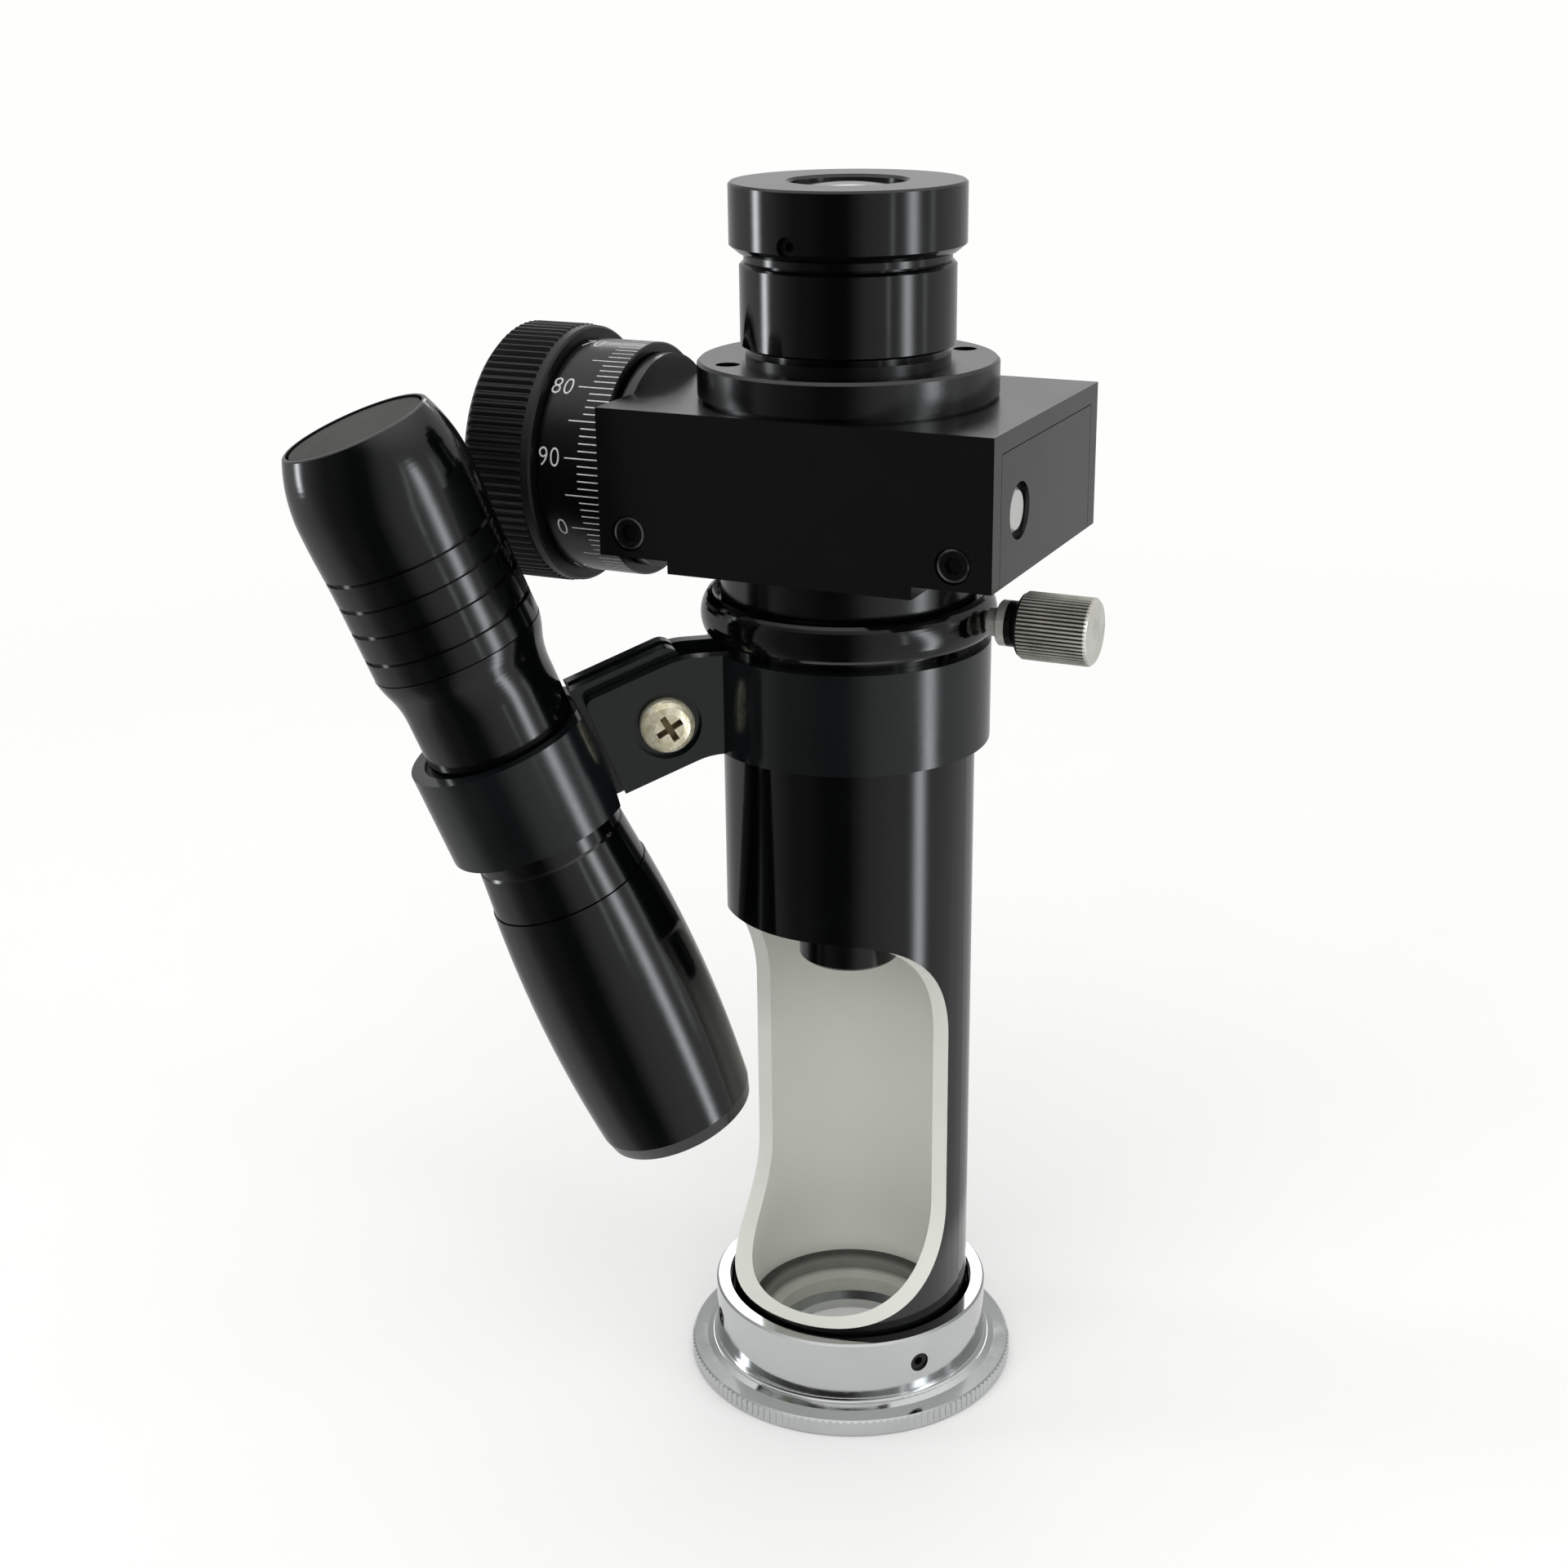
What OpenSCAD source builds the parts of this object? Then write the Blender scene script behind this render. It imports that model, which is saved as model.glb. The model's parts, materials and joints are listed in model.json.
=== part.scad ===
// Measuring microscope with a filar micrometer eyepiece and a clamped inspection torch.
// Origin: centre of the foot's opening, on the table. +Z runs up the tube.
// +X points to the closed end of the micrometer box, and the window faces about -Y.

/* [Tube] */
// Outer diameter of the main tube
tube_d = 35; // [29:0.5:42]
// Wall of the main tube
tube_wall = 2.6; // [2.1:0.1:3.2]
// Height of the tube's top edge above the table
tube_top = 115; // [95.5:0.5:140]
// Height of the window's lowest point above the table
window_low = 13.7; // [12:0.1:20]
// Height of the window's highest point above the table
window_high = 74.6; // [62:0.1:90]
// Turn of the window's middle from -Y towards -X
window_turn = 14; // [0:1:30]

/* [Foot] */
// Width of the foot's knurled flange beyond its collar
foot_flange = 3.95; // [3.2:0.05:6]
// Height of the flange's rim
foot_rim_h = 2.66; // [2.4:0.02:4]
// Height of the foot's collar
collar_h = 12.9; // [11:0.1:13.2]
// Wall of the foot's collar
collar_wall = 2.3; // [1.9:0.1:2.8]
// Radius of the opening that looks down on the work
sight_r = 10; // [7:0.5:10.4]
// Height of the stepped ring inside the tube's lower end
stage_h = 7.6; // [5.6:0.1:9]
// Number of fine ribs on the foot's rim
foot_ribs = 144; // [60:2:180]
// Radius of the foot's set screws
set_screw_r = 1.4; // [1:0.1:2]

/* [Lock ring and lock screw] */
// Height of the lock ring
lock_ring_h = 5.4; // [4.5:0.1:7]
// Depth of the recess that takes the head's neck
lock_recess = 1.2; // [1:0.1:1.5]
// Radius of the lock screw's thread
lock_screw_r = 1.25; // [1.05:0.05:1.5]
// Radius of the lock screw's knurled knob
lock_knob_r = 4.57; // [3.8:0.01:5.5]
// Length of the lock screw's knurled knob
lock_knob_len = 9.75; // [8:0.05:12]
// Number of ribs on the lock screw's knob
lock_knob_ribs = 50; // [30:2:60]

/* [Draw tube and objective] */
// Wall of the draw tube
draw_wall = 1.6; // [1.2:0.1:2.2]
// Length of the draw tube
draw_len = 47; // [42:0.5:50]
// Radius of the objective's barrel
objective_r = 7.2; // [6:0.1:8.5]
// Length of the objective's barrel below the draw tube
objective_len = 14; // [10:0.1:18]

/* [Micrometer box] */
// Length of the box along the micrometer screw
box_len = 55; // [50:0.5:68]
// Width of the box across the micrometer screw
box_wid = 41.2; // [40:0.2:50]
// Height of the box
box_h = 19.6; // [18:0.2:24]
// Wall of the box
box_wall = 2.8; // [2:0.1:3.2]
// Distance from the optical axis to the closed left end of the box
box_left = 27; // [25:0.5:33]
// Height of the neck between the lock ring's recess and the box plate
neck_h = 5.8; // [4.8:0.1:10]
// Thickness of the plate under the box
plate_t = 1.8; // [1.4:0.1:3]
// Width of the plate under the box
plate_len = 34.4; // [30:0.2:38]
// Radius of the silver guide rod
guide_rod_r = 2.9; // [2:0.1:3.2]
// Distance of the guide rod from the micrometer screw
guide_rod_y = 10.7; // [10.5:0.1:12]

/* [Micrometer screw and drum] */
// Height of the micrometer screw above the box floor's underside
screw_rise = 8.6; // [8:0.1:10]
// Radius of the micrometer thread
screw_r = 2.5; // [1.8:0.1:2.8]
// Radius of the graduated drum
drum_r = 16.1; // [13.4:0.1:19.4]
// Length of the graduated drum's visible surface
drum_len = 10; // [8.3:0.1:13]
// Width of the ribbed knob's rim beyond the drum
knob_over = 1.9; // [1.5:0.1:3]
// Length of the ribbed knob
knob_len = 10.6; // [8.8:0.1:13]
// Number of ribs on the knob
knob_ribs = 90; // [60:2:110]
// Depth of the index sleeve's flange below the drum's surface
sleeve_under = 1.35; // [1:0.05:2.4]

/* [Eyepiece] */
// Width of the disc that carries the eyepiece, beyond the barrel
disc_over = 5.8; // [4.8:0.05:7]
// Thickness of that disc
disc_t = 4.5; // [3.5:0.1:6]
// Radius of the eyepiece barrel
barrel_r = 14.25; // [11.85:0.05:17.1]
// Height of the eyepiece barrel
barrel_h = 10.85; // [9:0.05:15]
// Width of the eyepiece cap's rim beyond the barrel
cap_over = 1.3; // [1.1:0.05:2]
// Height of the eyepiece cap
cap_h = 8.9; // [7:0.1:12]
// Width of the lip round the eye opening, over the lens
eye_lip = 1.9; // [1.5:0.1:2.6]

/* [Lamp bracket] */
// Direction of the bracket around the tube, from +X towards +Y
bracket_turn = 218; // [212:1:250]
// Tilt of the torch from upright
torch_tilt = 21; // [16:0.5:24]
// Height of the strap round the tube
strap_h = 13.9; // [12:0.1:16]
// Thickness of the strap and of each ear
strap_t = 2; // [1.5:0.1:2.4]
// Distance from the strap's lower edge to the clamp screw
screw_up = 4.7; // [4:0.1:5.6]
// Distance from the tube's surface to the clamp screw
screw_out = 9.1; // [8.6:0.1:12]
// Half the gap between the strap's two ears
ear_gap = 3.2; // [3.1:0.1:4]
// Reach of the strap's ears past the clamp screw
ear_reach = 8.9; // [7.5:0.1:9]
// Distance from the clamp screw to the torch's axis
lamp_arm = 20.9; // [20.9:0.1:26]
// Wall of the ring that holds the torch
lamp_ring_wall = 1.9; // [1.6:0.1:2.1]
// Height of the ring that holds the torch
lamp_ring_h = 13.6; // [11:0.2:15]
// Radius of the clamp screw
clamp_screw_r = 1.95; // [1.5:0.05:2.2]

/* [Torch] */
// Greatest radius of the tail cap
tail_r = 12.1; // [11.6:0.05:13]
// Radius of the torch's waist, where the ring holds it
waist_r = 10.35; // [9.4:0.05:10.5]
// Greatest radius of the torch's head
head_r = 12.35; // [12:0.05:13]
// Length from the clamp screw's level down to the torch's nose
nose_reach = 57.3; // [50:0.1:66]
// Length from the clamp screw's level up to the torch's tail
tail_reach = 52.6; // [50:0.1:63]

/* [Hidden] */
$fn = 96;
// Overlap that makes a cut run clean through a face
eps = 0.1;
// Radial play between a turning or sliding part and its bore
run = 0.06;
// Radial play between two fixed parts
fit = 0.05;
// Gap left between parts that must not touch
air = 0.3;
// Width of the fine line that shows where a flush cover ends
seam = 0.12;

// Heights up the tube
tube_r = tube_d / 2;
bore_r = tube_r - tube_wall;
collar_r = tube_r + 0.5 + collar_wall;
foot_r = collar_r + foot_flange;
floor_z = 2.4;
lock_ring_top = tube_top + lock_ring_h;
recess_z = lock_ring_top - lock_recess;
lock_screw_z = recess_z - lock_screw_r - 0.3;
neck_z = recess_z + air;
plate_z = neck_z + neck_h;
box_z = plate_z + plate_t;
box_top = box_z + box_h;
screw_z = box_z + screw_rise;
box_right = box_len - box_left;
disc_top = box_top + 0.47 + disc_t;
barrel_z = disc_top + 1.68;
barrel_top = barrel_z + barrel_h;
cap_z = barrel_top + 1.3;
cap_top = cap_z + cap_h;

// Draw tube and objective
draw_r = bore_r - run;
draw_bore = draw_r - draw_wall;
draw_top = plate_z - 0.4;
draw_z = draw_top - draw_len;
objective_z = draw_z + 2 - objective_len;

// Window: a round cutter as wide as the tube, run up one side as deep as the tube's axis
cutter_r = tube_r - 0.5;

// Lock screw stations along +X
pad_x = draw_r + 0.1;
pad_len = 1.5;
ring_r = tube_r + 2.8;
collar_x = ring_r + 4.1;
knob_x = ring_r + 5.1;

// Micrometer stations along X
cavity_left = -box_left + box_wall;
cavity_right = box_right - 3;
cavity_y = box_wid / 2 - 2.8;
cavity_z = box_z + 2.2;
cavity_top = box_top - 2.5;
flange_x = -box_left - 1.6;
drum_x = flange_x - 0.5;
knob_right = drum_x - drum_len;
knob_left = knob_right - knob_len;
sleeve_end = drum_x - 8;
knob_r = drum_r + knob_over;
hub_r = drum_r - 1.7;
sleeve_r = drum_r - sleeve_under;
sleeve_in = drum_r - 4.5;
carriage_half = 13;
carriage_t = 9;
nut_r = 3.8;
light_r = 7;
spring_x = carriage_half;
spring_len = cavity_right - carriage_half;

// Eyepiece: its thread, the cap's seat, the bores for the lenses and the stop below them
disc_r = barrel_r + disc_over;
cap_r = barrel_r + cap_over;
spigot_r = barrel_r - 1.35;
thread_r = barrel_r - 2.85;
seat_r = barrel_r - 1.85;
lens_bore_r = barrel_r - 4.05;
eye_lens_r = barrel_r - 4.65;
stop_r = barrel_r - 5.65;
eye_r = eye_lens_r - eye_lip;

// Lamp bracket
strap_z = tube_top - 1.5 - strap_h;
strap_bore = tube_r + run;
strap_r = strap_bore + strap_t;
clamp_r = tube_r + screw_out;
clamp_z = strap_z + screw_up;
ear_up = (strap_h - screw_up) * cos(torch_tilt) - 2.06 * sin(torch_tilt);
ear_down = screw_up * cos(torch_tilt) + 5.75 * sin(torch_tilt);
lamp_ear_t = strap_t;
lamp_ear_up = ear_up + 1.55;
lamp_ring_bore = waist_r + 0.8;
lamp_ring_r = lamp_ring_bore + lamp_ring_wall;
// Turn each way of the lamp's clamp that its ring has to clear the strap's ears for
lamp_turns = [-8, 6];

// Torch stations, along its axis from the clamp screw's level
waist_low = -9.85;
waist_high = 14;
head_seam = -16.5;
body_seam = 21.2;
groove_z = [24.1, 28.2, 31.9, 35.7];
crown_z = tail_reach - 9.6;
nose_bore = head_r - 2.15;

module ring(r_out, r_in, z0, z1) {
    translate([0, 0, z0]) difference() {
        cylinder(r = r_out, h = z1 - z0);
        translate([0, 0, -eps]) cylinder(r = r_in, h = z1 - z0 + 2 * eps);
    }
}

module disc(r, z0, z1) {
    translate([0, 0, z0]) cylinder(r = r, h = z1 - z0);
}

// Children drawn along Z lie along +X, at this distance behind and height above the origin
module along_x(y, z) {
    translate([0, y, z]) rotate([0, 90, 0]) children();
}

// The micrometer screw's axis
module on_screw() {
    along_x(0, screw_z) children();
}

// Ends of straight ribs, as points round a circle
function rib_points(count, r, depth) = [
    for (i = [0:count - 1], corner = [0:3])
        let (angle = (i + [0.0, 0.18, 0.5, 0.68][corner]) * 360 / count,
             reach = corner < 2 ? r - depth : r)
        [reach * cos(angle), reach * sin(angle)]
];

function fine_rib_points(count, r, depth) = [
    for (i = [0:2 * count - 1])
        let (angle = i * 180 / count, reach = i % 2 == 0 ? r : r - depth)
        [reach * cos(angle), reach * sin(angle)]
];

// Points of an outline that bulges to its greatest radius at top_z, after its first point
function bulge(z0, z1, top_r, top_z, bend, steps) = [
    for (i = [1:steps]) let (z = z0 + (z1 - z0) * i / steps)
        [top_r - bend + sqrt(bend * bend - (z - top_z) * (z - top_z)), z]
];

// Points of an outline that is hollowed to its least radius at low_z, after its first point
function hollow(z0, z1, low_r, low_z, bend, steps) = [
    for (i = [1:steps]) let (z = z0 + (z1 - z0) * i / steps)
        [low_r + bend - sqrt(bend * bend - (z - low_z) * (z - low_z)), z]
];

function arc_points(x, y, r, from, to, steps) = [
    for (i = [0:steps]) let (angle = from + (to - from) * i / steps) [x + r * cos(angle), y + r * sin(angle)]
];

module foot_ring() {
    bead = 0.7;
    top_z = foot_rim_h + 0.7;
    color("silver") difference() {
        union() {
            intersection() {
                linear_extrude(foot_rim_h + 1) polygon(fine_rib_points(foot_ribs, foot_r, 0.24));
                rotate_extrude() polygon([
                    [sight_r, 0], [foot_r - 0.4, 0], [foot_r + 0.04, 0.44],
                    [foot_r + 0.04, foot_rim_h - 0.39], [foot_r - 0.35, foot_rim_h],
                    [collar_r - 1, top_z], [sight_r, top_z]
                ]);
            }
            rotate_extrude() difference() {
                polygon([
                    [sight_r, 0], [foot_r - 1, 0],
                    [foot_r - 1, foot_rim_h - 0.3], [collar_r + bead, top_z],
                    [collar_r, top_z + bead], [collar_r, collar_h - 0.3], [collar_r - 0.3, collar_h],
                    [sight_r, collar_h]
                ]);
                translate([collar_r + bead, top_z + bead]) circle(r = bead);
            }
        }
        translate([0, 0, -eps]) cylinder(r = sight_r, h = collar_h);
        translate([0, 0, floor_z - 0.9]) cylinder(r = sight_r + 1.3, h = collar_h);
        translate([0, 0, floor_z]) cylinder(r = tube_r + 0.5, h = collar_h);
        translate([0, 0, collar_h - 0.3]) cylinder(r1 = tube_r + 0.5, r2 = tube_r + 0.9, h = 0.4);
        set_screw_places() translate([0, 0, tube_r]) cylinder(r = set_screw_r + fit, h = collar_wall + 2);
    }
}

// The foot's three set screws point in at the tube
module set_screw_places() {
    for (angle = [91, 220, 323])
        rotate([0, 0, angle]) translate([0, 0, (collar_h + 3.9) / 2]) rotate([0, 90, 0]) children();
}

module foot_set_screws() {
    color("black") set_screw_places() translate([0, 0, tube_r + 0.04]) difference() {
        cylinder(r = set_screw_r, h = collar_wall + 0.1);
        translate([0, 0, 1.1]) cylinder(r = set_screw_r * 0.5, h = collar_wall, $fn = 6);
    }
}

// Stepped ring that lies on the foot's floor inside the tube
module stage_ring() {
    outer = bore_r - fit;
    mid = (stage_h + floor_z) / 2;
    color("dimgray") rotate_extrude() polygon([
        [sight_r + 1.3, floor_z], [outer, floor_z], [outer, stage_h], [outer - 1.3, stage_h],
        [outer - 1.7, stage_h - 0.9], [outer - 1.7, mid + 0.4], [outer - 2.6, mid],
        [sight_r + 1.3, mid - 0.4]
    ]);
}

// What the window's cutter takes away, as seen along the cut
module window_cut() {
    low = window_low + cutter_r;
    high = window_high - cutter_r;
    rotate([0, 0, -90 - window_turn]) translate([tube_r - 0.5, tube_r + 1, 0]) rotate([90, 0, 0])
        linear_extrude(2 * tube_r + 2) {
            translate([0, low]) circle(r = cutter_r);
            translate([0, high]) circle(r = cutter_r);
            translate([-cutter_r, low]) square([2 * cutter_r, high - low]);
        }
}

module main_tube() {
    color("black") difference() {
        disc(tube_r, floor_z, tube_top);
        disc(bore_r, floor_z - eps, tube_top + eps);
        disc(bore_r + 1.3, tube_top - 8, tube_top + eps);
        window_cut();
    }
}

// Bulging collar screwed into the tube's top, which guides and locks the draw tube
module lock_ring() {
    spigot = bore_r + 1.3 - fit;
    color("black") difference() {
        rotate_extrude() polygon(concat(
            [[bore_r, tube_top - 7.7], [spigot, tube_top - 7.7], [spigot, tube_top]],
            [[ring_r - 0.9, tube_top], [ring_r - 0.62, tube_top + 0.1]],
            bulge(tube_top + 0.1, lock_ring_top - 0.35, ring_r, tube_top + 2.3, 4.6, 12),
            [[ring_r - 1.35, lock_ring_top - 0.07], [ring_r - 1.6, lock_ring_top]],
            [[ring_r - 1.9, lock_ring_top - 0.1], [tube_r + 0.4, recess_z], [bore_r, recess_z]]
        ));
        along_x(0, lock_screw_z) cylinder(r = lock_screw_r + 0.1, h = ring_r + 2);
    }
}

module on_lock_screw() {
    along_x(0, lock_screw_z) children();
}

module lock_pad() {
    color("goldenrod") on_lock_screw() disc(lock_screw_r - 0.15, pad_x, pad_x + pad_len);
}

module lock_screw() {
    color("silver") on_lock_screw() rotate_extrude() polygon([
        [0, pad_x + pad_len], [lock_screw_r, pad_x + pad_len], [lock_screw_r, ring_r + 0.3],
        [1.95, ring_r + 0.3], [1.95, ring_r + 1.8],
        [2.9, ring_r + 1.8], [3.1, ring_r + 2], [3.1, collar_x - 0.15],
        [2.95, collar_x], [lock_screw_r, collar_x], [lock_screw_r, knob_x + 2], [0, knob_x + 2]
    ]);
}

module lock_spacer() {
    color("black") on_lock_screw() rotate_extrude() polygon([
        [lock_screw_r + fit, collar_x], [2.9, collar_x], [lock_knob_r - 0.35, knob_x - 0.2],
        [lock_knob_r - 0.35, knob_x], [lock_screw_r + fit, knob_x]
    ]);
}

module lock_knob() {
    end = knob_x + lock_knob_len;
    color("silver") on_lock_screw() difference() {
        intersection() {
            translate([0, 0, knob_x]) linear_extrude(lock_knob_len)
                polygon(fine_rib_points(lock_knob_ribs, lock_knob_r, 0.3));
            rotate_extrude() polygon([
                [0, knob_x], [lock_knob_r - 0.3, knob_x], [lock_knob_r + 0.04, knob_x + 0.34],
                [lock_knob_r + 0.04, end - 0.44], [lock_knob_r - 0.4, end], [0, end]
            ]);
        }
        disc(lock_screw_r + fit, knob_x - eps, knob_x + 2.05);
    }
}

module draw_tube() {
    color("gray") ring(draw_r, draw_bore, draw_z, draw_top);
}

module objective_mount() {
    lens_r = objective_r - 1.6;
    flange = draw_bore - fit;
    color("black") rotate_extrude() polygon([
        [lens_r - 0.7, objective_z], [objective_r - 0.4, objective_z], [objective_r, objective_z + 0.4],
        [objective_r, draw_z + 1.6], [flange, draw_z + 2.6], [flange, draw_z + 6], [lens_r, draw_z + 6],
        [lens_r, objective_z + 1], [lens_r - 0.7, objective_z + 1]
    ]);
}

// Lens with one domed face, flat side down
module lens(r, z, thick, dome) {
    color("lightcyan") intersection() {
        disc(r, z, z + thick);
        translate([0, 0, z + thick - dome]) sphere(r = dome);
    }
}

module objective_front_lens() {
    lens(objective_r - 1.6 - fit, objective_z + 1.1, 2.8, 20);
}

module objective_rear_lens() {
    lens(objective_r - 1.6 - fit, objective_z + 4.5, 3, 16);
}

module objective_retainer() {
    r = objective_r - 1.6 - fit;
    color("black") ring(r, r - 1.2, objective_z + 7.6, objective_z + 10.4);
}

// Plate under the box with the round neck that enters the lock ring
module neck_plate() {
    color("black") difference() {
        union() {
            disc(tube_r, neck_z, plate_z + eps);
            translate([-plate_len / 2, -box_wid / 2 + 0.3, plate_z])
                cube([plate_len, box_wid - 0.6, plate_t]);
            disc(12.5, box_z - eps, cavity_z);
        }
        disc(draw_r + fit, neck_z - eps, draw_top);
        disc(draw_bore - 2, draw_top - eps, plate_z + 1);
        disc(9, plate_z, cavity_z + eps);
        disc(10.4, cavity_z - 1.2, cavity_z + eps);
    }
}

module box_housing() {
    color("black") difference() {
        translate([-box_left, -box_wid / 2, box_z]) cube([box_len, box_wid, box_h]);
        translate([cavity_left, -cavity_y, cavity_z])
            cube([box_len, 2 * cavity_y, cavity_top - cavity_z]);
        translate([cavity_right, -cavity_y, box_z - eps])
            cube([box_len, 2 * cavity_y, cavity_top - box_z + eps]);
        disc(12.5 + fit, box_z - eps, cavity_z + eps);
        disc(spigot_r + fit, cavity_top - eps, box_top + eps);
        on_screw() disc(5.5 + fit, -box_left - eps, cavity_left + eps);
        rod_place() disc(guide_rod_r + fit, cavity_left - 1.4, cavity_left + eps);
        pin_place() disc(1.6 + fit, cavity_left - 1.4, cavity_left + eps);
        box_screw_places() {
            cylinder(r = 2.4, h = 1.5);
            cylinder(r = 1.5 + fit, h = 5);
        }
    }
}

module rod_place() {
    along_x(-guide_rod_y, screw_z) children();
}

module pin_place() {
    along_x(guide_rod_y, screw_z) children();
}

// Two cap screws in the front face, drawn from their mouths inwards
module box_screw_places() {
    for (x = [-box_left + 4.3, box_right - 5.2])
        translate([x, -box_wid / 2 - eps, box_z + 3.2]) rotate([-90, 0, 0]) children();
}

module box_screws() {
    color("black") box_screw_places() translate([0, 0, eps]) difference() {
        union() {
            translate([0, 0, 0.25]) cylinder(r = 2.15, h = 1.1);
            translate([0, 0, 1.2]) cylinder(r = 1.5, h = 1.5);
        }
        cylinder(r = 1.25, h = 0.95, $fn = 6);
    }
}

module end_cover() {
    half = cavity_y - seam;
    color("black") difference() {
        translate([cavity_right, -half, box_z]) cube([3, 2 * half, cavity_top - seam - box_z]);
        rod_place() {
            disc(guide_rod_r + fit, cavity_right - eps, box_right + eps);
            disc(3.7, box_right - 0.9, box_right + eps);
        }
        pin_place() disc(1.6 + fit, cavity_right - eps, cavity_right + 1.5);
    }
}

module guide_rod() {
    color("silver") rod_place() rotate_extrude() polygon([
        [0, cavity_left - 1.3], [guide_rod_r, cavity_left - 1.3], [guide_rod_r, box_right - 0.8],
        [guide_rod_r - 0.4, box_right - 0.4], [0, box_right - 0.4]
    ]);
}

module guide_pin() {
    color("silver") pin_place() disc(1.6, cavity_left - 1.3, cavity_right + 1.4);
}

module fixed_scale() {
    color("lightcyan") disc(10.4 - fit, cavity_z - 1.2, cavity_z - 0.1);
}

// Ring that holds the fixed scale down and bears on the neck plate
module scale_retainer() {
    color("black") ring(12, 9, cavity_z, cavity_z + 0.7);
}

module bearing_bush() {
    color("goldenrod") on_screw() ring(5.5, 3.5 + run, -box_left - 7, cavity_left - 0.1);
}

// Fixed sleeve with the index line, between the box and the drum
module index_sleeve() {
    color("black") on_screw() difference() {
        union() {
            disc(sleeve_r, flange_x, -box_left);
            disc(sleeve_in, sleeve_end, flange_x + eps);
        }
        disc(5.5 + fit, -box_left - 7, -box_left + eps);
        disc(6.6, sleeve_end - eps, -box_left - 7 + eps);
    }
}

// Disc that carries the eyepiece, with two holes for a pin spanner
module eyepiece_disc() {
    color("black") difference() {
        union() {
            rotate_extrude() polygon([
                [0, box_top], [disc_r - 0.7, box_top], [disc_r - 0.7, box_top + 0.47],
                [disc_r, box_top + 0.47], [disc_r, disc_top - 0.4],
                [disc_r - 0.4, disc_top], [0, disc_top]
            ]);
            disc(barrel_r - 0.65, disc_top - eps, disc_top + 0.75);
            disc(spigot_r, cavity_top, box_top + eps);
        }
        disc(thread_r + run, cavity_top - eps, disc_top + 1);
        for (angle = [43, 223])
            rotate([0, 0, angle]) translate([disc_r - 3.4, 0, disc_top - 3]) cylinder(r = 1.6, h = 4);
    }
}

// Frame that the micrometer screw pushes along the two guides
module reticle_carriage() {
    z0 = screw_z - carriage_t / 2;
    half_y = cavity_y - 1.6;
    color("gray") difference() {
        translate([-carriage_half, -half_y, z0]) cube([2 * carriage_half, 2 * half_y, carriage_t]);
        disc(light_r, z0 - eps, z0 + carriage_t + eps);
        disc(light_r + 0.9, z0 - eps, z0 + 1.2);
        rod_place() disc(guide_rod_r + run, -carriage_half - eps, carriage_half + eps);
        pin_place() disc(1.6 + run, -carriage_half - eps, carriage_half + eps);
        on_screw() disc(nut_r + fit, -carriage_half - eps, -light_r + 2);
    }
}

module micrometer_nut() {
    color("goldenrod") on_screw() difference() {
        union() {
            disc(nut_r, -carriage_half - 7, -light_r - 1.2);
            disc(5.6, -carriage_half - 1.5, -carriage_half);
        }
        disc(screw_r + run, -carriage_half - 7 - eps, -light_r - 1.2 + eps);
    }
}

module moving_reticle() {
    z0 = screw_z - carriage_t / 2;
    color("lightcyan") disc(light_r + 0.9 - fit, z0 + 0.1, z0 + 1.2);
}

// One closed face of a swept wire, from its own rings of points
function wire_ring(turn, coil_r, wire_r, pitch, sides) = [
    for (k = [0:sides - 1])
        let (side = k * 360 / sides, reach = coil_r + wire_r * cos(side))
        [reach * cos(turn * 360), reach * sin(turn * 360), turn * pitch + wire_r * sin(side)]
];

// Compression spring drawn up from Z = 0
module coil_spring(coil_r, wire_r, turns, length) {
    sides = 6;
    steps = 14;
    last = turns * steps;
    pitch = (length - 2 * wire_r) / turns;
    points = [for (i = [0:last]) each wire_ring(i / steps, coil_r, wire_r, pitch, sides)];
    walls = [
        for (i = [0:last - 1], k = [0:sides - 1])
            let (a = i * sides + k, b = i * sides + (k + 1) % sides)
            each [[a, a + sides, b], [b, a + sides, b + sides]]
    ];
    ends = [
        for (k = [1:sides - 2]) each [[0, k, k + 1],
        [last * sides, last * sides + k + 1, last * sides + k]]
    ];
    translate([0, 0, wire_r]) polyhedron(points, concat(walls, ends));
}

module return_spring() {
    color("silver") rod_place() translate([0, 0, spring_x + 0.05])
        coil_spring(guide_rod_r + 0.9, 0.4, 5, spring_len - 0.1);
}

// Screw with its bearing journal, thrust collar and the seat that carries the drum
module micrometer_screw() {
    color("silver") on_screw() rotate_extrude() polygon([
        [0, knob_left + 1.3], [2, knob_left + 1.3], [2, knob_left + 3.2], [3, knob_left + 3.2],
        [3, -box_left - 9.2], [5, -box_left - 9.2], [5, -box_left - 7.1], [3.5, -box_left - 7.1],
        [3.5, cavity_left], [screw_r, cavity_left], [screw_r, -carriage_half + 0.6],
        [screw_r - 0.4, -carriage_half + 1], [0, -carriage_half + 1]
    ]);
}

module graduated_drum() {
    hub = knob_left + 3.3;
    web = sleeve_end - 1;
    color("black") on_screw() difference() {
        rotate_extrude() polygon([
            [0, hub], [hub_r, hub], [hub_r, knob_right + 0.12], [drum_r - 0.3, knob_right + 0.12],
            [drum_r, knob_right + 0.42], [drum_r, drum_x - 0.2], [drum_r - 0.2, drum_x], [0, drum_x]
        ]);
        disc(sleeve_in + air, web, drum_x + eps);
        disc(3 + fit, hub - eps, web + eps);
    }
}

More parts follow.
